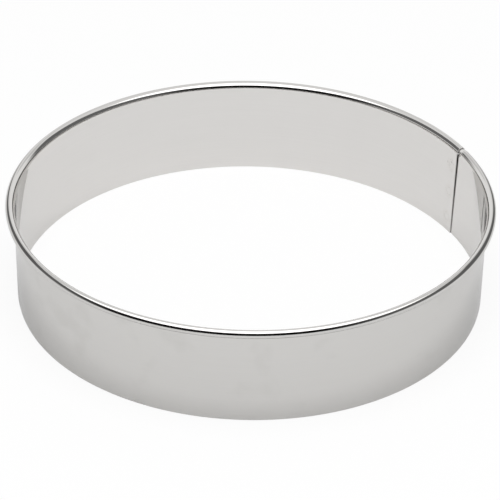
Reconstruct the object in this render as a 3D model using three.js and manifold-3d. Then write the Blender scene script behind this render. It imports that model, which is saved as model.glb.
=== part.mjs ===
// Round pastry cutter: a strip of bright steel sheet rolled into a ring. The bottom edge is sharpened,
// the top edge leans out and curls round a wire, and the two ends of the strip lap and are spot welded.
// Millimetres, +Z up. The cutting edge stands on z = 0, the ring's axis is Z and the front is -Y.

import * as THREE from 'three';
import { mergeVertices } from 'three/addons/utils/BufferGeometryUtils.js';
import Module from 'manifold-3d';

const { degToRad, smoothstep } = THREE.MathUtils;

// Driving dimensions: the ring

const cuttingDiameter = 160; // inside of the ring
const height = 35.5; // cutting edge to the top of the rim
const sheet = 0.3; // thickness of the strip

// Driving dimensions: the rim

const rimDiameter = 2.74; // outside of the curl
const neckRadius = 3.1; // bend where the wall leans out into the curl
const neckLean = 41; // degrees that the wall leans out before the curl takes over
const lipGap = 0.3; // lip of the curl to the wall
const wireClearance = 0.1; // curl to the wire in it

// Driving dimensions: the cutting edge

const edgeLand = 0.2; // flat left on the edge
const edgeBevel = 0.6; // height of the bevel, which is ground on the outside

// Driving dimensions: the seam

const seamAngle = 25.4; // degrees from +X towards +Y to the inner end of the strip
const endSkew = 1; // how far the strip's ends are out of square over the height
const lapLength = 6; // outer end past the inner end
const lapGap = 0.1; // between the two plies of the lap
const joggleLength = 42; // length over which the outer end climbs onto the inner end
const rimButtGap = 0.3; // between the two ends of the curl
const tongueClearance = 0.3; // top of the lapping tongue to the curl above it

// Driving dimensions: the welds

const weldNames = ['spot_weld_lower', 'spot_weld_middle', 'spot_weld_upper'];
const weldDiameter = 3;
const weldClearance = 0.1; // weld to the hole in each ply
const weldMargin = 5.5; // lowest weld's centre to the cutting edge, and highest weld's to the tongue's top

// Facets

const ringSteps = 96; // sections round the ring
const lapSteps = 4; // sections along the lapping tongue
const curlFacet = 24; // degrees of the curl in one facet
const neckFacet = 14; // degrees of the neck in one facet
const wireSides = 8;
const weldSides = 24;

// Sizes that follow

const innerRadius = cuttingDiameter / 2;
const rimRadius = rimDiameter / 2;
const lean = degToRad(neckLean);
const rimCentre = new THREE.Vector2(
  rimRadius + (neckRadius - rimRadius) * (1 - Math.cos(lean)),
  height - rimRadius,
);
const neckCentre = new THREE.Vector2(
  neckRadius,
  rimCentre.y - (neckRadius - rimRadius) * Math.sin(lean),
);
const lipAngle = -Math.acos((sheet + lipGap - rimCentre.x) / rimRadius);
const tongueTop = Math.min(neckCentre.y, rimCentre.y - rimRadius) - tongueClearance;

const fullTurn = 2 * Math.PI;
const lapTurn = lapLength / innerRadius;
const joggleTurn = joggleLength / innerRadius;
const rimTurn = fullTurn - rimButtGap / innerRadius;

const steel = (color, roughness) =>
  new THREE.MeshStandardMaterial({ color, metalness: 1, roughness, flatShading: true });

// A point of the strip: how far round it is, how far out from the wall's inner face, and how far up.
// Over the last stretch of the turn the wall climbs by one sheet, to lie on its inner end, while the rim
// stays in line.
function onStrip(turn, out, up) {
  const along = smoothstep(turn, fullTurn - joggleTurn, fullTurn);
  const below = 1 - smoothstep(up, tongueTop, rimCentre.y);
  const radius = innerRadius + (sheet + lapGap) * along * below + out;
  const skew = (endSkew * (0.5 - up / height)) / innerRadius;
  const angle = degToRad(seamAngle) + turn + skew;
  return new THREE.Vector3(radius * Math.cos(angle), radius * Math.sin(angle), up);
}

// Points of an arc of the section, from one angle to a smaller one.
function arc(centre, radius, from, to, facet) {
  const steps = Math.ceil((from - to) / degToRad(facet));
  return new THREE.EllipseCurve(centre.x, centre.y, radius, radius, from, to, true).getPoints(steps);
}

// The neck and curl on one face of the sheet, from the top of the straight wall to the lip.
// The curl has a point at its top and one at its outside, so that the ring keeps its full size.
function rimFace(depth) {
  const curl = (from, to) => arc(rimCentre, rimRadius - depth, from, to, curlFacet).slice(1);
  return [
    ...arc(neckCentre, neckRadius - depth, Math.PI, Math.PI - lean, neckFacet),
    ...curl(Math.PI - lean, Math.PI / 2),
    ...curl(Math.PI / 2, 0),
    ...curl(0, lipAngle),
  ];
}

// The strip's section: up the inner face, round the curl to its lip, and back down the sheet's other face.
const innerFoot = [new THREE.Vector2(0, 0), new THREE.Vector2(0, tongueTop)];
const outerFoot = [
  new THREE.Vector2(sheet, tongueTop),
  new THREE.Vector2(sheet, edgeBevel),
  new THREE.Vector2(edgeLand, 0),
];
const rimSection = [...rimFace(0), ...rimFace(sheet).reverse()];
const stripSection = [...innerFoot, ...rimSection, ...outerFoot];

// The wire's section, clockwise as the strip's is.
const wireRadius = rimRadius - sheet - wireClearance;
const wireSection = arc(rimCentre, wireRadius, fullTurn, 0, 360 / wireSides).slice(1);

// Even steps of turn between two ends, with both ends.
const turns = (from, to, steps) =>
  Array.from({ length: steps + 1 }, (_, i) => from + ((to - from) * i) / steps);

// A closed mesh made of points and triangles that are added one run at a time.
class Body {
  points = [];
  triangles = [];

  // Adds the section's points at one turn, and gives their numbers.
  ring(section, turn) {
    return section.map(({ x, y }) => this.points.push(onStrip(turn, x, y)) - 1);
  }

  // Joins the same loop of points at two turns. A clockwise section swept forwards faces out.
  skin(near, far) {
    near.forEach((a, i) => {
      const j = (i + 1) % near.length;
      this.triangles.push([a, near[j], far[j]], [a, far[j], far[i]]);
    });
  }

  // Closes a loop of points, at the start of a run or at its end.
  cap(section, ring, atEnd) {
    for (const [a, b, c] of THREE.ShapeUtils.triangulateShape(section, [])) {
      this.triangles.push(atEnd ? [ring[a], ring[c], ring[b]] : [ring[a], ring[b], ring[c]]);
    }
  }

  geometry() {
    return new THREE.BufferGeometry().setFromPoints(this.points).setIndex(this.triangles.flat());
  }
}

// Sweeps a section round the rim's whole turn. The caller closes the far end.
function sweep(body, section) {
  const rings = turns(0, rimTurn, ringSteps).map((turn) => body.ring(section, turn));
  rings.slice(1).forEach((ring, i) => body.skin(rings[i], ring));
  body.cap(section, rings[0], false);
  return rings.at(-1);
}

// The strip: its whole section as far as the rim's second end, then the wall alone, lapping the first end.
function stripGeometry() {
  const body = new Body();
  const last = sweep(body, stripSection);
  const tongueSection = [...innerFoot, ...outerFoot];
  const rimStart = innerFoot.length;
  const rimEnd = rimStart + rimSection.length;
  const endSection = stripSection.slice(rimStart - 1, rimEnd + 1);
  body.cap(endSection, last.slice(rimStart - 1, rimEnd + 1), true);

  let near = [...last.slice(0, rimStart), ...last.slice(rimEnd)];
  for (const turn of turns(rimTurn, fullTurn + lapTurn, lapSteps).slice(1)) {
    const far = body.ring(tongueSection, turn);
    body.skin(near, far);
    near = far;
  }
  body.cap(tongueSection, near, true);
  return body.geometry();
}

// The wire: the same sweep inside the curl, closed at both ends.
function wireGeometry() {
  const body = new Body();
  const last = sweep(body, wireSection);
  body.cap(wireSection, last, true);
  return body.geometry();
}

// A round slug that lies along X, with its middle at the origin.
function slugGeometry(diameter, length) {
  return new THREE.CylinderGeometry(diameter / 2, diameter / 2, length, weldSides).rotateZ(Math.PI / 2);
}

// The welds run through both plies, in the middle of the lap and evenly spaced up the tongue.
const pliesThickness = 2 * sheet + lapGap;
const weldSpacing = (tongueTop - 2 * weldMargin) / (weldNames.length - 1);

function atWeld(mesh, index) {
  const centre = onStrip(lapTurn / 2, pliesThickness / 2, weldMargin + index * weldSpacing);
  mesh.position.copy(centre);
  mesh.rotation.z = Math.atan2(centre.y, centre.x);
  mesh.updateMatrix();
  return mesh;
}

// Solids for the cuts

const wasm = await Module();
wasm.setup();

// Shares each point between the faces that meet there, so that the mesh is closed.
function toSolid(geometry) {
  geometry.deleteAttribute('normal');
  geometry.deleteAttribute('uv');
  const { attributes, index } = mergeVertices(geometry);
  return new wasm.Manifold(
    new wasm.Mesh({ numProp: 3, vertProperties: attributes.position.array, triVerts: index.array }),
  );
}

function toGeometry(solid) {
  const { vertProperties, triVerts } = solid.getMesh();
  return new THREE.BufferGeometry()
    .setAttribute('position', new THREE.BufferAttribute(vertProperties, 3))
    .setIndex(new THREE.BufferAttribute(triVerts, 1));
}

// The hole for a weld goes clear through both plies.
function weldHole(index) {
  const length = pliesThickness + 2 * sheet;
  const hole = atWeld(new THREE.Mesh(slugGeometry(weldDiameter + 2 * weldClearance, length)), index);
  return toSolid(hole.geometry.applyMatrix4(hole.matrix));
}

function cutterBand() {
  const holes = weldNames.map((_, index) => weldHole(index));
  const strip = holes.reduce((solid, hole) => solid.subtract(hole), toSolid(stripGeometry()));
  const band = new THREE.Mesh(toGeometry(strip), steel(0xcdccca, 0.18));
  band.name = 'cutter_band';
  return band;
}

function rimWire() {
  const wire = new THREE.Mesh(wireGeometry(), steel(0xa3a3a1, 0.45));
  wire.name = 'rim_wire';
  return wire;
}

function spotWeld(name, index) {
  const slug = new THREE.Mesh(slugGeometry(weldDiameter, pliesThickness), steel(0xb4b1ac, 0.4));
  slug.name = name;
  return atWeld(slug, index);
}

const cutter = new THREE.Group();
cutter.add(cutterBand(), rimWire(), ...weldNames.map(spotWeld));

export default cutter;
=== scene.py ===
# %% [markdown]
# # A round pastry cutter
# The cutter is one strip of bright steel sheet, rolled into a ring. The lower edge is sharpened to go
# through dough, and the upper edge curls outwards round a wire, so that the hand presses on a round bead.
# The two ends of the strip lap, and three spot welds hold them. Each piece is modelled here as the shop
# makes it: first the section of the strip, then the roll, then the lap and the welds. All sizes are metres,
# +Z is up, the cutting edge stands on z = 0 and the front of the ring is at -Y.

# %% Load the frame
import math

import bmesh
import bpy
from mathutils import Matrix, Vector


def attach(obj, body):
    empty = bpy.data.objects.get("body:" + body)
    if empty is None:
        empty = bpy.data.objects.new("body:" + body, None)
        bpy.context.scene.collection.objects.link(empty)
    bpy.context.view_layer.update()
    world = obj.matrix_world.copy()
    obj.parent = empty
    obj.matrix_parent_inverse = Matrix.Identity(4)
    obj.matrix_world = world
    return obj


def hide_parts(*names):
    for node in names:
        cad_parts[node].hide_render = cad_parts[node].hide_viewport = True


MM = 0.001

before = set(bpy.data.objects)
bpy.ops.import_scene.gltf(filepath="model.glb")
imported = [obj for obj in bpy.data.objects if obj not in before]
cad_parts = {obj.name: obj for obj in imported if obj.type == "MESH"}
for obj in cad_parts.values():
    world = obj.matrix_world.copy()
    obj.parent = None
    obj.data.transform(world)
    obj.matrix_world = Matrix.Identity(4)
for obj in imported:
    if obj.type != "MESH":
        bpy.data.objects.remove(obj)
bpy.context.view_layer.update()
print("solids:", ", ".join(sorted(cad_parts)))

# %% [markdown]
# ## Camera
# The photograph was taken with a long lens from a little above the ring, so the far rim is hardly smaller
# than the near one. The camera stands in front, looks down on the ring and is turned by about a degree about
# its own axis. It could be aimed with a constraint, but a place and two angles say the same thing plainly.

# %% Make the camera
CAMERA_PLACE = Vector((0, -0.6537, 0.4273))
CAMERA_PITCH = math.radians(32.35)  # below the horizon
CAMERA_ROLL = math.radians(0.96)
CAMERA_LENS = 161.4  # millimetres
SENSOR_WIDTH = 36  # millimetres
CLIP_START = 0.01

bpy.ops.object.select_all(action="DESELECT")
bpy.ops.object.camera_add()
camera = bpy.context.object
camera.name = "photo_camera"
camera.data.lens = CAMERA_LENS
camera.data.sensor_width = SENSOR_WIDTH
camera.data.clip_start = CLIP_START
camera.matrix_world = (
    Matrix.Translation(CAMERA_PLACE)
    @ Matrix.Rotation(math.pi / 2 - CAMERA_PITCH, 4, "X")
    @ Matrix.Rotation(CAMERA_ROLL, 4, "Z")
)
bpy.context.scene.camera = camera
print("camera is", round(CAMERA_PLACE.length, 3), "m from the ring's foot")

# %% [markdown]
# ## Strip sizes
# The section of the strip is a straight wall, a neck that leans out, and a curl that goes most of the way
# round a circle and stops with its lip near the wall. It could be traced point by point, but the neck and
# the curl are two arcs that meet on one tangent, so their centres follow from the radii and the angle at
# which they meet. These are the sizes of the solids.

# %% Work out the section
INNER_RADIUS = 80 * MM
HEIGHT = 35.5 * MM
SHEET = 0.3 * MM
RIM_RADIUS = 1.37 * MM
NECK_RADIUS = 3.1 * MM
NECK_LEAN = math.radians(41)
LIP_GAP = 0.3 * MM
EDGE_LAND = 0.2 * MM
EDGE_BEVEL = 0.6 * MM
TONGUE_CLEARANCE = 0.3 * MM

RIM_OUT = INNER_RADIUS + RIM_RADIUS + (NECK_RADIUS - RIM_RADIUS) * (1 - math.cos(NECK_LEAN))
RIM_UP = HEIGHT - RIM_RADIUS
NECK_OUT = INNER_RADIUS + NECK_RADIUS
NECK_UP = RIM_UP - (NECK_RADIUS - RIM_RADIUS) * math.sin(NECK_LEAN)
TONGUE_TOP = min(NECK_UP, RIM_UP - RIM_RADIUS) - TONGUE_CLEARANCE
LIP_ANGLE = math.acos((INNER_RADIUS + SHEET + LIP_GAP - RIM_OUT) / RIM_RADIUS)
CURL_TURN = math.pi - NECK_LEAN + LIP_ANGLE
print("the curl turns", round(math.degrees(CURL_TURN)), "degrees about z =", round(RIM_UP / MM, 2), "mm")

# %% [markdown]
# ## Tools for the bench
# An operator acts on whatever is selected, as a hand works on what it holds. Points could be clicked in a
# window, but a script has none, so it picks them by their place. Four small tools serve every piece below:
# let go of everything, pick points or faces, settle a piece in its place, and use a modifier up.

# %% Select, pick, settle and apply


def select_nothing():
    """Leaves edit mode and selects nothing, so that the next operator acts only on what it is given."""
    if bpy.context.mode != "OBJECT":
        bpy.ops.object.mode_set(mode="OBJECT")
    bpy.ops.object.select_all(action="DESELECT")


def pick(kind, test, within=False):
    """Selects the vertices or faces whose middle passes the test, if need be only among those selected."""
    mesh = bpy.context.edit_object.data
    bpy.ops.mesh.select_mode(type=kind)
    shape = bmesh.from_edit_mesh(mesh)
    parts = list(shape.faces if kind == "FACE" else shape.verts)
    places = [part.calc_center_median() if kind == "FACE" else part.co.copy() for part in parts]
    wanted = [test(place) and (part.select or not within) for part, place in zip(parts, places)]
    bpy.ops.mesh.select_all(action="DESELECT")
    for part, keep in zip(parts, wanted):
        part.select_set(keep)
    shape.select_flush_mode()
    bmesh.update_edit_mesh(mesh)
    return sum(wanted)


def place_in_mesh(piece):
    """Moves an object's place, turn and scale into its mesh, and leaves the object at the origin."""
    select_nothing()
    piece.select_set(True)
    bpy.context.view_layer.objects.active = piece
    bpy.ops.object.transform_apply(location=True, rotation=True, scale=True)


def apply_modifier(piece, kind, **settings):
    """Adds a modifier to the piece and applies it at once."""
    modifier = piece.modifiers.new(kind.lower(), kind)
    for name, value in settings.items():
        setattr(modifier, name, value)
    bpy.context.view_layer.objects.active = piece
    bpy.ops.object.modifier_apply(modifier=modifier.name)


# %% [markdown]
# ## Strip
# The strip could be drawn as a curve with a bevel profile, but then its ends and its lap would be hard to
# reach. Here its section is drawn: a small plane becomes the ground edge, an extrusion the wall, and two
# spins the neck and the curl. Spinning that flat section round the axis then makes the whole ring as one
# solid.

# %% Draw the section
NECK_STEPS = 10
CURL_STEPS = 36

select_nothing()
bpy.ops.mesh.primitive_plane_add(
    size=1,
    rotation=(math.pi / 2, 0, 0),
    location=(INNER_RADIUS + SHEET / 2, 0, EDGE_BEVEL / 2),
)
strip = bpy.context.object
strip.name = "rolled_strip"
strip.scale = (SHEET, EDGE_BEVEL, 1)
place_in_mesh(strip)

bpy.ops.object.mode_set(mode="EDIT")
pick("VERT", lambda at: at.z < EDGE_BEVEL / 2 and at.x > INNER_RADIUS + SHEET / 2)
bpy.ops.transform.translate(value=(EDGE_LAND - SHEET, 0, 0))
pick("VERT", lambda at: at.z > EDGE_BEVEL / 2)
for rise in (TONGUE_TOP - EDGE_BEVEL, NECK_UP - TONGUE_TOP):
    bpy.ops.mesh.extrude_region_move(TRANSFORM_OT_translate={"value": (0, 0, rise)})
bpy.ops.mesh.spin(steps=NECK_STEPS, angle=-NECK_LEAN, center=(NECK_OUT, 0, NECK_UP), axis=(0, 1, 0))
bpy.ops.mesh.spin(steps=CURL_STEPS, angle=-CURL_TURN, center=(RIM_OUT, 0, RIM_UP), axis=(0, 1, 0))
bpy.ops.object.mode_set(mode="OBJECT")
section_top = max(vertex.co.z for vertex in strip.data.vertices)
print("section:", len(strip.data.polygons), "faces, top at", round(section_top / MM, 2), "mm")

# %% [markdown]
# ## Roll and lap
# The ring is rolled from its inner end at the seam, once round, to just short of where it started. On that
# last stretch the wall climbs outwards by its own thickness, so that it can lie on the first end, while the
# bead stays in line. The climb could be a sharp step, but rolled sheet bends gently: a vertex group says how
# much of the climb each point takes, and a Displace modifier moves it. The shop taps down the last
# millimetres of the curl, so that no sharp end stands out: proportional editing draws them in. Only the wall
# goes on past the seam, as a tongue.

# %% Roll the ring
RING_STEPS = 360
TAP_STEPS = 6
RIM_BUTT = 0.06 * MM  # between the two ends of the curl
RIM_BUTT_TURN = RIM_BUTT / INNER_RADIUS
RIM_TURN = 2 * math.pi - RIM_BUTT_TURN
TAP_LENGTH = 3.2 * MM
TAP_TURN = TAP_LENGTH / INNER_RADIUS


def spin_about_axis(turn, steps):
    """Sweeps what is selected round the ring's axis, anticlockwise as seen from above."""
    bpy.ops.mesh.spin(steps=steps, angle=-turn, center=(0, 0, 0), axis=(0, 0, 1), use_auto_merge=False)


bpy.ops.object.mode_set(mode="EDIT")
bpy.ops.mesh.select_all(action="SELECT")
spin_about_axis(RIM_TURN - TAP_TURN, RING_STEPS)
spin_about_axis(TAP_TURN, TAP_STEPS)
print("ring rolled in", RING_STEPS + TAP_STEPS, "steps")

# %% Let the end of the wall climb
LAP_GAP = 0.02 * MM  # between the two plies of the lap
CLIMB = SHEET + LAP_GAP
JOGGLE_LENGTH = 42 * MM  # length over which the wall climbs
JOGGLE_TURN = JOGGLE_LENGTH / INNER_RADIUS
IN_LINE_UP = RIM_UP + 0.6 * MM  # height from which the bead stays in line


def smooth_step(value, start, end):
    """0 at start and before it, 1 at end and beyond, with a smooth run between."""
    share = min(max((value - start) / (end - start), 0), 1)
    return share * share * (3 - 2 * share)


def climb_at_end(piece):
    """Moves the wall at the end of the roll, just short of +X, outwards by one sheet."""
    bpy.ops.object.mode_set(mode="OBJECT")
    climb = piece.vertex_groups.new(name="climb")
    for vertex in piece.data.vertices:
        x, y, z = vertex.co
        turn = math.atan2(y, x)
        along = smooth_step(turn, -JOGGLE_TURN, 0) if turn < -RIM_BUTT_TURN / 2 else 0
        climb.add([vertex.index], along * (1 - smooth_step(z, NECK_UP, IN_LINE_UP)), "REPLACE")
    apply_modifier(piece, "DISPLACE", direction="X", strength=CLIMB, mid_level=0, vertex_group=climb.name)
    bpy.ops.object.mode_set(mode="EDIT")


climb_at_end(strip)
print("the wall's end climbs", round(CLIMB / MM, 2), "mm:", len(strip.data.vertices), "points in the ring")

# %% Tap down the end of the curl and roll the tongue
TAP_SHARE = 0.72  # of the curl's size, left at its end
LAP_STEPS = 6
LAP_LENGTH = 6 * MM
LAP_TURN = LAP_LENGTH / INNER_RADIUS
END_REACH = 0.2 * MM  # how near the end plane its own faces lie

rim_centre = Vector((RIM_OUT, 0, RIM_UP))
pick("VERT", lambda at: (at - rim_centre).length < RIM_RADIUS + END_REACH, within=True)
bpy.ops.transform.resize(
    value=(TAP_SHARE, TAP_SHARE, TAP_SHARE),
    center_override=rim_centre,
    use_proportional_edit=True,
    use_proportional_connected=True,
    proportional_edit_falloff="SHARP",
    proportional_size=TAP_LENGTH,
)
tongue_faces = pick(
    "FACE",
    lambda at: at.x > INNER_RADIUS + SHEET and abs(at.y) < END_REACH and at.z < TONGUE_TOP,
)
spin_about_axis(RIM_BUTT_TURN + LAP_TURN, LAP_STEPS)
print("the tongue goes on from", tongue_faces, "faces of the end")

# %% Close the solid, put its ends out of square and set the seam in its place
MERGE = 0.001 * MM
SEAM_ANGLE = math.radians(25.4)
END_SLANT = 1 * MM  # how far the strip's ends are out of square over the height
END_SKEW = END_SLANT / INNER_RADIUS
EDGE_ROUND = 0.03 * MM
EDGE_STEPS = 2
ROUNDED_FROM = math.radians(40)


def close_solid():
    """Merges double points and turns all faces outwards. The piece is in edit mode."""
    bpy.ops.mesh.select_all(action="SELECT")
    bpy.ops.mesh.remove_doubles(threshold=MERGE)
    bpy.ops.mesh.normals_make_consistent(inside=False)
    bpy.ops.object.mode_set(mode="OBJECT")


def set_at_seam(piece):
    """Turns a piece that was rolled from +X so that it starts at the seam, with its ends out of square."""
    apply_modifier(piece, "SIMPLE_DEFORM", deform_method="TWIST", deform_axis="Z", angle=-END_SKEW)
    piece.rotation_euler.z = SEAM_ANGLE + END_SKEW / 2
    place_in_mesh(piece)


close_solid()
apply_modifier(
    strip, "BEVEL", width=EDGE_ROUND, segments=EDGE_STEPS, limit_method="ANGLE", angle_limit=ROUNDED_FROM
)
set_at_seam(strip)
print("strip:", len(strip.data.polygons), "faces")

# %% [markdown]
# ## Rim wire
# Inside the curl lies a plain drawn wire that keeps the bead round. Only its ends could ever be seen,
# through the narrow gap where the curl butts. It could be a curve with a round bevel, but a disc that is
# spun along the same path as the strip is closed at both ends. It stops short of the tapped end.

# %% Roll the wire
WIRE_CLEARANCE = 0.1 * MM  # curl to wire
WIRE_RADIUS = RIM_RADIUS - SHEET - WIRE_CLEARANCE
WIRE_SIDES = 20
WIRE_STEPS = 240

select_nothing()
bpy.ops.mesh.primitive_circle_add(
    vertices=WIRE_SIDES,
    radius=WIRE_RADIUS,
    fill_type="NGON",
    rotation=(math.pi / 2, 0, 0),
    location=rim_centre,
)
wire = bpy.context.object
wire.name = "bead_wire"
place_in_mesh(wire)
bpy.ops.object.mode_set(mode="EDIT")
bpy.ops.mesh.select_all(action="SELECT")
spin_about_axis(RIM_TURN - TAP_TURN, WIRE_STEPS)
climb_at_end(wire)
close_solid()
set_at_seam(wire)
print("wire:", len(wire.data.polygons), "faces")

# %% [markdown]
# ## Spot welds
# A spot welder pinches both plies between two copper tips. What is left is a shallow round dish on each
# side, which could be painted on, but then it would not catch the light. Each weld is a short cylinder
# through both plies whose two faces are inset and pressed in, and it sits in a hole cut through the lap.

# %% Cut the holes
WELD_NAMES = ("spot_weld_lower", "spot_weld_middle", "spot_weld_upper")
WELD_RADIUS = 1.5 * MM
WELD_MARGIN = 5.5 * MM  # lowest weld's centre to the cutting edge, and highest weld's to the tongue's top
WELD_SIDES = 48
WELD_FIT = 0.01 * MM  # weld to the edge of its hole
PLIES = 2 * SHEET + LAP_GAP
HOLE_LENGTH = 3 * PLIES  # clear through both plies


def weld_place(index):
    """The middle of a weld and the way it faces: halfway along the lap, evenly spaced up the tongue."""
    up = WELD_MARGIN + index * (TONGUE_TOP - 2 * WELD_MARGIN) / (len(WELD_NAMES) - 1)
    angle = SEAM_ANGLE + LAP_TURN / 2 + END_SKEW * (0.5 - up / HEIGHT)
    out = INNER_RADIUS + PLIES / 2
    return Vector((out * math.cos(angle), out * math.sin(angle), up)), angle


def add_slug(radius, length):
    """A round slug that stands at the origin."""
    select_nothing()
    bpy.ops.mesh.primitive_cylinder_add(vertices=WELD_SIDES, radius=radius, depth=length)
    return bpy.context.object


def lay_through_lap(slug, index):
    """Lays a slug through both plies at a weld's place."""
    slug.location, angle = weld_place(index)
    slug.rotation_euler = (0, math.pi / 2, angle)
    place_in_mesh(slug)


for index in range(len(WELD_NAMES)):
    cutter = add_slug(WELD_RADIUS + WELD_FIT, HOLE_LENGTH)
    lay_through_lap(cutter, index)
    apply_modifier(strip, "BOOLEAN", operation="DIFFERENCE", solver="EXACT", object=cutter)
    bpy.data.objects.remove(cutter)
print("strip with holes:", len(strip.data.polygons), "faces")

# %% Press the welds
DISH_STEPS = ((0.2, 0), (0.2, -0.006), (0.2, -0.008), (0.4, -0.003))  # millimetres in and down

welds = []
for index, node in enumerate(WELD_NAMES):
    weld = add_slug(WELD_RADIUS, PLIES)
    weld.name = node.replace("spot_weld", "pressed_weld")
    bpy.ops.object.mode_set(mode="EDIT")
    pick("FACE", lambda at: abs(at.z) > PLIES / 3)  # the two round faces
    for inwards, depth in DISH_STEPS:
        bpy.ops.mesh.inset(thickness=inwards * MM, depth=depth * MM, use_even_offset=True)
    bpy.ops.object.mode_set(mode="OBJECT")
    lay_through_lap(weld, index)
    welds.append(weld)
print("welds:", [weld.name for weld in welds])

# %% [markdown]
# ## Smooth faces
# The sheet is round all over, and only its ground edge and its cut ends are sharp. More faces could hide the
# facets, but a mirror shows even small ones, so faces that meet at a low angle are shaded as one.

# %% Smooth the round faces and leave the ground edges sharp
SMOOTH_ANGLE = math.radians(15)

select_nothing()
for piece in (strip, wire, *welds):
    piece.select_set(True)
bpy.context.view_layer.objects.active = strip
bpy.ops.object.shade_smooth_by_angle(angle=SMOOTH_ANGLE)
print("smoothed:", len(bpy.context.selected_objects), "pieces")

# %% [markdown]
# ## Shader expressions
# A finish is a small sum: a base, plus a little grain, plus some smudges where hands hold it. Such sums
# could be wired up box by box, but they are easier to read as Python. One class stands for a node's output:
# operators on it add Math nodes, and one method adds any other node.

# %% Make nodes from expressions


class Signal:
    """A node's output in a shader. Python's operators on it add Math nodes to the same tree."""

    def __init__(self, tree, socket=None):
        self.tree = tree
        self.socket = socket

    def node(self, kind, settings=None, inputs=None, output=0):
        """Adds one node: its settings are set first, then the values or links of its sockets."""
        made = self.tree.nodes.new("ShaderNode" + kind)
        for name, value in (settings or {}).items():
            setattr(made, name, value)
        for name, value in (inputs or {}).items():
            if isinstance(value, Signal):
                self.tree.links.new(value.socket, made.inputs[name])
            else:
                made.inputs[name].default_value = value
        return Signal(self.tree, made.outputs[output] if made.outputs else None)

    def math(self, operation, first, second):
        return self.node("Math", {"operation": operation}, {0: first, 1: second})

    def __add__(self, other):
        return self.math("ADD", self, other)

    def __radd__(self, other):
        return self.math("ADD", other, self)

    def __sub__(self, other):
        return self.math("SUBTRACT", self, other)

    def __rsub__(self, other):
        return self.math("SUBTRACT", other, self)

    def __mul__(self, other):
        return self.math("MULTIPLY", self, other)

    def __rmul__(self, other):
        return self.math("MULTIPLY", other, self)

    def vector(self, operation, other=(0, 0, 0), output=0):
        """This vector and another one, through a Vector Math node."""
        return self.node("VectorMath", {"operation": operation}, {0: self, 1: other}, output)

    def along(self, way):
        """How far this vector goes one way."""
        return self.vector("DOT_PRODUCT", way, output="Value")

    def part(self, axis):
        """One of this vector's three numbers."""
        return self.node("SeparateXYZ", inputs={0: self}, output=axis)

    def ramp(self, start, end, low=0.0, high=1.0):
        """A smooth step of this value: low at start and before it, high at end and beyond."""
        ends = {"Value": self, "From Min": start, "From Max": end, "To Min": low, "To Max": high}
        return self.node("MapRange", {"interpolation_type": "SMOOTHSTEP"}, ends)

    def blend(self, first, second):
        """Two colours, mixed by this value."""
        return self.node("Mix", {"data_type": "RGBA"}, {0: self, 6: first, 7: second}, output=2)

    def noise(self, stretch, detail=2.0):
        """Noise at this place, with so many lumps to the metre along each axis."""
        place = self.vector("MULTIPLY", stretch)
        return self.node("TexNoise", inputs={"Vector": place, "Scale": 1.0, "Detail": detail})

    def bump(self, strength, depth):
        """A surface that this value raises by up to so many metres."""
        return self.node("Bump", inputs={"Strength": strength, "Distance": depth, "Height": self})

    def show(self):
        """Makes this shader the one that the material shows."""
        self.node("OutputMaterial", inputs={"Surface": self})


# %% Start a finish and put it on a piece


def new_finish(name):
    """A material with an empty tree, and the signal that its nodes are made from."""
    finish = bpy.data.materials.new(name)
    finish.use_nodes = True
    finish.node_tree.nodes.clear()
    return finish, Signal(finish.node_tree)


def dress(piece, finish):
    """Gives a piece one finish all over."""
    piece.data.materials.clear()
    piece.data.materials.append(finish)


def grey(level):
    return (level, level, level, 1)


# %% [markdown]
# ## Bright sheet
# Cold-rolled stainless sheet is close to a mirror, so a flat colour would look like plastic foil. On the
# real ring the rolls leave hair-fine lines along the strip, fingers leave faint blots on the outside, the
# welds tint the lap, and the inner end, as the shear has cut it, is matt. The outside is also painted a
# little darker than the inside, and that darker outside is painted shade. These marks could be painted on a
# flat picture of the strip. Here they are read from the place on the ring instead, so that they need no
# picture, and the way a face looks tells the outside from the inside and the cut end from both.

# %% Read a place on the ring
OUTSIDE_FADE = (-0.3, 0.3)  # from faces that look inwards to faces that look outwards
SPECKS = (1300, 1300, 1300)  # lumps to the metre along each axis, as for all grain below
SPECK_FADE = (0.58, 0.66)
SPECKED_UP = (0.5 * HEIGHT, 0.8 * HEIGHT)  # heights between which they come in, towards the upper weld


def object_place(nodes):
    """The place on a piece, in metres."""
    return nodes.node("TexCoord", output="Object")


def from_axis(place):
    """The level direction from the ring's axis to a place."""
    return place.vector("MULTIPLY", (1, 1, 0)).vector("NORMALIZE")


def facing(nodes, way):
    """How far a face looks one way, from -1 to 1."""
    return nodes.node("TexCoord", output="Normal").along(way)


def weld_distance(place):
    """How far a place is from the middle of the nearest weld."""
    centres = [weld_place(index)[0] for index in range(len(WELD_NAMES))]
    gaps = [place.vector("DISTANCE", centre, output="Value") for centre in centres]
    nearest = gaps[0]
    for gap in gaps[1:]:
        nearest = place.math("MINIMUM", nearest, gap)
    return nearest


def oxide_specks(place):
    """Small dark specks, which only the upper weld has."""
    return place.noise(SPECKS, detail=1).ramp(*SPECK_FADE) * place.part("Z").ramp(*SPECKED_UP)


# %% Choose the sheet's colours
INSIDE_STEEL = (0.700, 0.688, 0.674, 1)
# painted shade: the outside steel is painted darker than the inside
SHADED_OUTSIDE_STEEL = (0.615, 0.606, 0.592, 1)
SMUDGE_GREY = (0.47, 0.46, 0.44, 1)
STRAW_TINT = (0.46, 0.40, 0.33, 1)
OXIDE_SPECK = (0.16, 0.15, 0.14, 1)
SHEARED_GREY = (0.56, 0.55, 0.54, 1)
GRAZING_STEEL = 0.88  # steel mirrors less at a glancing angle than most metals
ROLLED_SHADE = 0.06  # how much each mark changes the colour
SMUDGE_SHADE = 0.22
TINT_SHADE = 0.08
SPECK_SHADE = 0.5
print("steel inside and outside:", INSIDE_STEEL[:3], SHADED_OUTSIDE_STEEL[:3])

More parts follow.
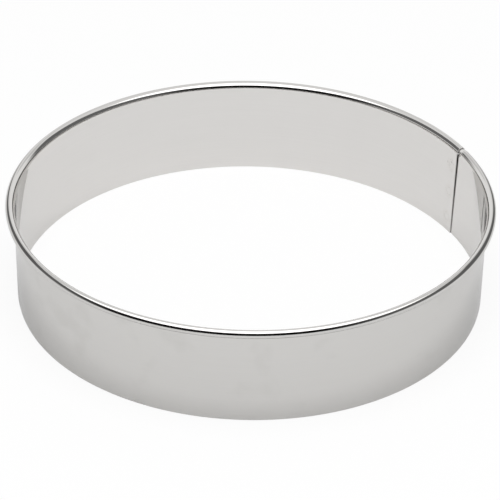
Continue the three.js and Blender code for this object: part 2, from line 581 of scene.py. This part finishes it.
# %% Choose the sheet's marks
SHEARED_FADE = (0.5, 0.9)  # from faces that look across the strip to its inner end
ROLLED_LINES = (30, 30, 5000)
ROLLED_FADE = (0.35, 0.75)
SMUDGES = (60, 60, 75)
SMUDGE_FADE = (0.54, 0.72)
SCRATCHES = (900, 900, 60)
GROUND_FADE = (EDGE_BEVEL, 0.8 * EDGE_BEVEL)  # heights between which the ground edge starts
TINT_REACH = 3.4 * MM  # from a weld's centre
SHEET_ROUGHNESS = 0.04
ROLLED_DULL = 0.02  # how much each mark adds to the roughness
SMUDGE_DULL = 0.05
GROUND_DULL = 0.22
TINT_DULL = 0.04
SHEARED_DULL = 0.35
SHEET_RELIEF = 0.004 * MM
SHEET_BUMP = 0.25
ROLLED_HEIGHT = 0.3  # of the rolled lines, where a scratch has 1
print("rolled lines:", 1 / (ROLLED_LINES[2] * MM), "mm apart")

# %% Finish the sheet


def bright_sheet():
    """Rolled lines, painted shade and smudges outside, a ground lower edge, a sheared end and a tint round
    the welds.
    """
    finish, nodes = new_finish("bright_sheet")
    place = object_place(nodes)
    outwards = from_axis(place)
    outside = facing(nodes, outwards).ramp(*OUTSIDE_FADE)
    sheared = facing(nodes, outwards.vector("CROSS_PRODUCT", (0, 0, 1))).ramp(*SHEARED_FADE)

    rolled = place.noise(ROLLED_LINES, detail=3)
    smudged = place.noise(SMUDGES, detail=3).ramp(*SMUDGE_FADE) * outside
    ground = place.part("Z").ramp(*GROUND_FADE) * outside
    tint = weld_distance(place).ramp(WELD_RADIUS, TINT_REACH, 1, 0)

    # painted shade: faces that look outwards get the darker steel colour
    colour = outside.blend(INSIDE_STEEL, SHADED_OUTSIDE_STEEL)
    colour = (ROLLED_SHADE * rolled.ramp(*ROLLED_FADE)).blend(colour, SMUDGE_GREY)
    colour = (SMUDGE_SHADE * smudged).blend(colour, SMUDGE_GREY)
    colour = (TINT_SHADE * tint).blend(colour, STRAW_TINT)
    colour = (SPECK_SHADE * tint * oxide_specks(place)).blend(colour, OXIDE_SPECK)
    colour = sheared.blend(colour, SHEARED_GREY)
    worn = ROLLED_DULL * rolled + SMUDGE_DULL * smudged + GROUND_DULL * ground + TINT_DULL * tint
    relief = ROLLED_HEIGHT * rolled + ground * place.noise(SCRATCHES)
    steel = nodes.node(
        "BsdfPrincipled",
        inputs={
            "Base Color": colour,
            "Metallic": 1 - sheared,
            "Roughness": SHEET_ROUGHNESS + worn + SHEARED_DULL * sheared,
            "Specular Tint": grey(GRAZING_STEEL),
            "Normal": relief.bump(SHEET_BUMP, SHEET_RELIEF),
        },
    )
    steel.show()
    return finish


dress(strip, bright_sheet())
print("sheet:", len(strip.data.materials[0].node_tree.nodes), "nodes")

# %% [markdown]
# ## Wire and welds
# The wire is drawn through a die, which leaves it dull and lightly scored along its length. A spot weld is
# nearly as bright as the sheet that it was pressed from, with a fine grain, a faint grey ring of heat and,
# by the upper one, a few dark specks. It could share the sheet's finish, but then it would have no ring.

# %% Finish the wire
WIRE_STEEL = (0.50, 0.50, 0.49, 1)
WIRE_SCORED = (0.36, 0.36, 0.35, 1)
WIRE_SCORES = (40, 40, 6000)
WIRE_SCORE_FADE = (0.4, 0.7)
WIRE_ROUGHNESS = 0.35
SCORE_DULL = 0.15
WIRE_RELIEF = 0.01 * MM
WIRE_BUMP = 0.3


def drawn_wire():
    """Dull steel with fine scores along the wire."""
    finish, nodes = new_finish("drawn_wire")
    scored = object_place(nodes).noise(WIRE_SCORES)
    steel = nodes.node(
        "BsdfPrincipled",
        inputs={
            "Base Color": scored.ramp(*WIRE_SCORE_FADE).blend(WIRE_STEEL, WIRE_SCORED),
            "Metallic": 1.0,
            "Roughness": WIRE_ROUGHNESS + SCORE_DULL * scored,
            "Normal": scored.bump(WIRE_BUMP, WIRE_RELIEF),
        },
    )
    steel.show()
    return finish


dress(wire, drawn_wire())
print("wire:", len(wire.data.materials[0].node_tree.nodes), "nodes")

# %% Finish the welds
WELD_INSIDE = (0.690, 0.678, 0.664, 1)
# painted shade: the weld's outer face is painted darker than its inner face
SHADED_WELD_OUTSIDE = (0.600, 0.590, 0.577, 1)
WELD_RING = (0.50, 0.48, 0.45, 1)
WELD_GRAIN = (2500, 2500, 2500)
WELD_RELIEF = 0.004 * MM
WELD_BUMP = 0.3
GRAIN_DULL = 0.05
RING_FADE = (0.55 * WELD_RADIUS, WELD_RADIUS)
RING_SHADE = 0.15
RING_DULL = 0.05
WELD_SPECK_SHADE = 0.4


def pressed_weld():
    """A grained dish, painted shade on its outer face, a heat ring at its edge and oxide specks."""
    finish, nodes = new_finish("pressed_weld")
    place = object_place(nodes)
    outside = facing(nodes, from_axis(place)).ramp(*OUTSIDE_FADE)
    ring = weld_distance(place).ramp(*RING_FADE)
    grain = place.noise(WELD_GRAIN)
    # painted shade: faces that look outwards get the darker steel colour
    colour = outside.blend(WELD_INSIDE, SHADED_WELD_OUTSIDE)
    colour = (RING_SHADE * ring).blend(colour, WELD_RING)
    colour = (WELD_SPECK_SHADE * oxide_specks(place)).blend(colour, OXIDE_SPECK)
    steel = nodes.node(
        "BsdfPrincipled",
        inputs={
            "Base Color": colour,
            "Metallic": 1.0,
            "Roughness": SHEET_ROUGHNESS + GRAIN_DULL * grain + RING_DULL * ring,
            "Normal": grain.bump(WELD_BUMP, WELD_RELIEF),
        },
    )
    steel.show()
    return finish


weld_finish = pressed_weld()
for weld in welds:
    dress(weld, weld_finish)
print("welds:", len(weld_finish.node_tree.nodes), "nodes")

# %% [markdown]
# ## Stage
# Bright steel has hardly any colour of its own: it shows what stands round it. The ring stands on white
# paper in a white room, under one soft lamp, as on a small product table. The white could come from strong
# lamps, but they would wash the steel out. Here the paper and the world are white to the eye and in the
# gloss, and they light the ring only softly.

# %% Lay the paper
PAPER_SIZE = 8
PAPER_WHITE = 0.95
PAPER_GLOW_CAMERA = 0.9  # share of plain white in the paper, as the camera sees it
PAPER_GLOW_GLOSS = 0.15  # and as the steel mirrors it


def ray_kinds(nodes):
    """Which kind of ray looks: one signal for the camera's own rays and one for mirrored ones."""
    seen, glossy, transmitted = (
        nodes.node("LightPath", output=f"Is {kind} Ray") for kind in ("Camera", "Glossy", "Transmission")
    )
    return seen, glossy + transmitted


select_nothing()
bpy.ops.mesh.primitive_plane_add(size=PAPER_SIZE)
floor = bpy.context.object
floor.name = "paper_floor"
paper, nodes = new_finish("white_paper")
seen, mirrored = ray_kinds(nodes)
glow = PAPER_GLOW_CAMERA * seen + PAPER_GLOW_GLOSS * mirrored
lit = nodes.node("BsdfDiffuse", inputs={"Color": grey(PAPER_WHITE)})
white = nodes.node("Emission", inputs={"Color": grey(1), "Strength": 1.0})
nodes.node("MixShader", inputs={0: glow, 1: lit, 2: white}).show()
dress(floor, paper)
print("paper:", PAPER_SIZE, "m wide")

# %% Light the world
WORLD_AMBIENT = 0.5  # what the world adds to matt surfaces

world = bpy.data.worlds.new("studio")
world.use_nodes = True
world.node_tree.nodes.clear()
bpy.context.scene.world = world
nodes = Signal(world.node_tree)
seen, mirrored = ray_kinds(nodes)
level = WORLD_AMBIENT + (1 - WORLD_AMBIENT) * (seen + mirrored)
sky = nodes.node("Background", inputs={"Color": grey(1), "Strength": level})
nodes.node("OutputWorld", inputs={"Surface": sky})
bpy.context.scene.view_settings.view_transform = "Standard"
print("world:", WORLD_AMBIENT, "of white on matt surfaces")

# %% Hang the lamp
LAMP_PLACE = (0, -0.25, 1.1)
LAMP_SIZE = 0.8
LAMP_LEVEL = 4.7  # brightness of the lamp's face, where 1 is white

bpy.ops.object.light_add(type="AREA", location=LAMP_PLACE)
lamp = bpy.context.object
lamp.name = "soft_lamp"
lamp.data.shape = "DISK"
lamp.data.size = LAMP_SIZE
lamp.data.energy = LAMP_LEVEL * math.pi * (math.pi / 4 * LAMP_SIZE**2)
lamp.visible_camera = False
print("lamp:", round(lamp.data.energy, 1), "watts")

# %% [markdown]
# ## What the bead mirrors
# The bead is a row of tiny round mirrors, so it needs something to show: a pale diffuser overhead, a dark
# opening where the camera is, dim screens at the sides and a paler one behind, with the white room between
# them and the paper. They could be left out, but then the bead would be as white as the room. They are seen
# in the gloss alone, so that they stay out of the picture and the paper keeps its own light.

# %% Hang the diffuser
DIFFUSER_PLACE = (0, 0, 0.207)
DIFFUSER_RADIUS = 0.212
DIFFUSER_SIDES = 64
DIFFUSER_FRONT = 2.3
DIFFUSER_BACK = 0.9
DIFFUSER_FADE = (-0.04, 0.05)  # where it starts to fade from front to back, and where it ends


def show_in_gloss_alone(thing, paint, colour):
    """Lets a stage object glow in its colour, out of the picture and off the matt surfaces."""
    colour.node("Emission", inputs={"Color": colour}).show()
    dress(thing, paint)
    thing.visible_camera = False
    thing.visible_diffuse = False
    thing.visible_shadow = False


select_nothing()
bpy.ops.mesh.primitive_circle_add(
    vertices=DIFFUSER_SIDES, radius=DIFFUSER_RADIUS, fill_type="NGON", location=DIFFUSER_PLACE
)
diffuser = bpy.context.object
diffuser.name = "overhead_diffuser"
place_in_mesh(diffuser)
paint, nodes = new_finish(diffuser.name)
backwards = object_place(nodes).part("Y").ramp(*DIFFUSER_FADE)
show_in_gloss_alone(diffuser, paint, backwards.blend(grey(DIFFUSER_FRONT), grey(DIFFUSER_BACK)))
print("diffuser:", DIFFUSER_PLACE[2], "m up")

# %% Make a curved screen
SCREEN_FOOT_RADIUS = 0.20
SCREEN_LEAN = 0.4  # how far a screen leans out for its height
SCREEN_THICKNESS = 1 * MM
SCREEN_STEPS = 64


def add_screen(name, start, end, foot, top):
    """A curved screen round the ring, between two directions in degrees and between two heights.

    Its section starts as a plane one metre square, is squeezed to size and leant out, and is then spun.
    """
    select_nothing()
    bpy.ops.mesh.primitive_plane_add(
        size=1, rotation=(math.pi / 2, 0, 0), location=(SCREEN_FOOT_RADIUS, 0, 0.5)
    )
    screen = bpy.context.object
    screen.name = name
    place_in_mesh(screen)
    bpy.ops.object.mode_set(mode="EDIT")
    bpy.ops.mesh.select_all(action="SELECT")
    section = (SCREEN_THICKNESS, 1, top - foot)
    bpy.ops.transform.resize(value=section, center_override=(SCREEN_FOOT_RADIUS, 0, 0))
    bpy.ops.transform.translate(value=(SCREEN_LEAN * foot, 0, foot))
    pick("VERT", lambda at: at.z > (foot + top) / 2)
    bpy.ops.transform.translate(value=(SCREEN_LEAN * (top - foot), 0, 0))
    bpy.ops.mesh.select_all(action="SELECT")
    spin_about_axis(math.radians(end - start), SCREEN_STEPS)
    bpy.ops.object.mode_set(mode="OBJECT")
    screen.rotation_euler.z = math.radians(start)
    place_in_mesh(screen)
    return screen


# %% Paint a screen
FRONT_WAY = (-0.2, -0.98, 0)
FRONT_FADE = (0.25, 0.85)  # share of the way to the front over which the dark takes over
END_FADE = (0.72, 0.88)  # share of the way to the back over which a side turns pale again
RIGHT_FADE = (0, 0.6)  # share of the way to the right over which the pale foot drops
FOOT_DROP = 0.022  # how much lower the pale foot ends on the right
FOOT_FADE = (0.04, 0.08)  # heights below which a side is pale, like the paper


def paint_screen(screen, side, front, pale):
    """One grey at the sides and one in front, with a pale foot and pale ends."""
    paint, nodes = new_finish(screen.name)
    place = object_place(nodes)
    way = from_axis(place)
    forwards = way.along(FRONT_WAY).ramp(*FRONT_FADE)
    backwards = way.along((0, 1, 0)).ramp(*END_FADE)
    drop = FOOT_DROP * way.along((1, 0, 0)).ramp(*RIGHT_FADE)
    colour = (place.part("Z") + drop).ramp(*FOOT_FADE).blend(grey(pale), grey(side))
    colour = forwards.blend(colour, grey(front))
    colour = backwards.blend(colour, grey(pale))
    show_in_gloss_alone(screen, paint, colour)


# %% Stand the screens
BACK_RIGHT = 62  # degrees from +X, where the two screens meet
BACK_LEFT = 118  # and where they meet again
ROOM_FOOT = 0.015
ROOM_TOP = 0.56
ROOM_WHITE = 1
SIDE_GREY = 0.16
FRONT_DARK = 0.012
BACK_FOOT = 0.22
BACK_TOP = 0.9
BACK_GREY = 0.7

room_screen = add_screen("room_screen", BACK_LEFT, BACK_RIGHT + 360, ROOM_FOOT, ROOM_TOP)
paint_screen(room_screen, SIDE_GREY, FRONT_DARK, ROOM_WHITE)
back_screen = add_screen("back_screen", BACK_RIGHT, BACK_LEFT, BACK_FOOT, BACK_TOP)
paint_screen(back_screen, BACK_GREY, BACK_GREY, BACK_GREY)
print("screens:", room_screen.name, "and", back_screen.name)

# %% [markdown]
# ## On the frame
# Each finished piece stands for one solid, in the same place, and nothing on the cutter moves, so all of
# them ride on the one root body. They could be joined into a single mesh, but then the wire and the welds
# could not be taken apart again.

# %% Ride on the frame
for piece, node, slot in (
    (strip, "cutter_band", "sheet_steel"),
    (wire, "rim_wire", "wire_steel"),
    *((weld, node, "weld_steel") for weld, node in zip(welds, WELD_NAMES)),
):
    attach(piece, "root")
    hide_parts(node)
    print(piece.name, "stands for", node)
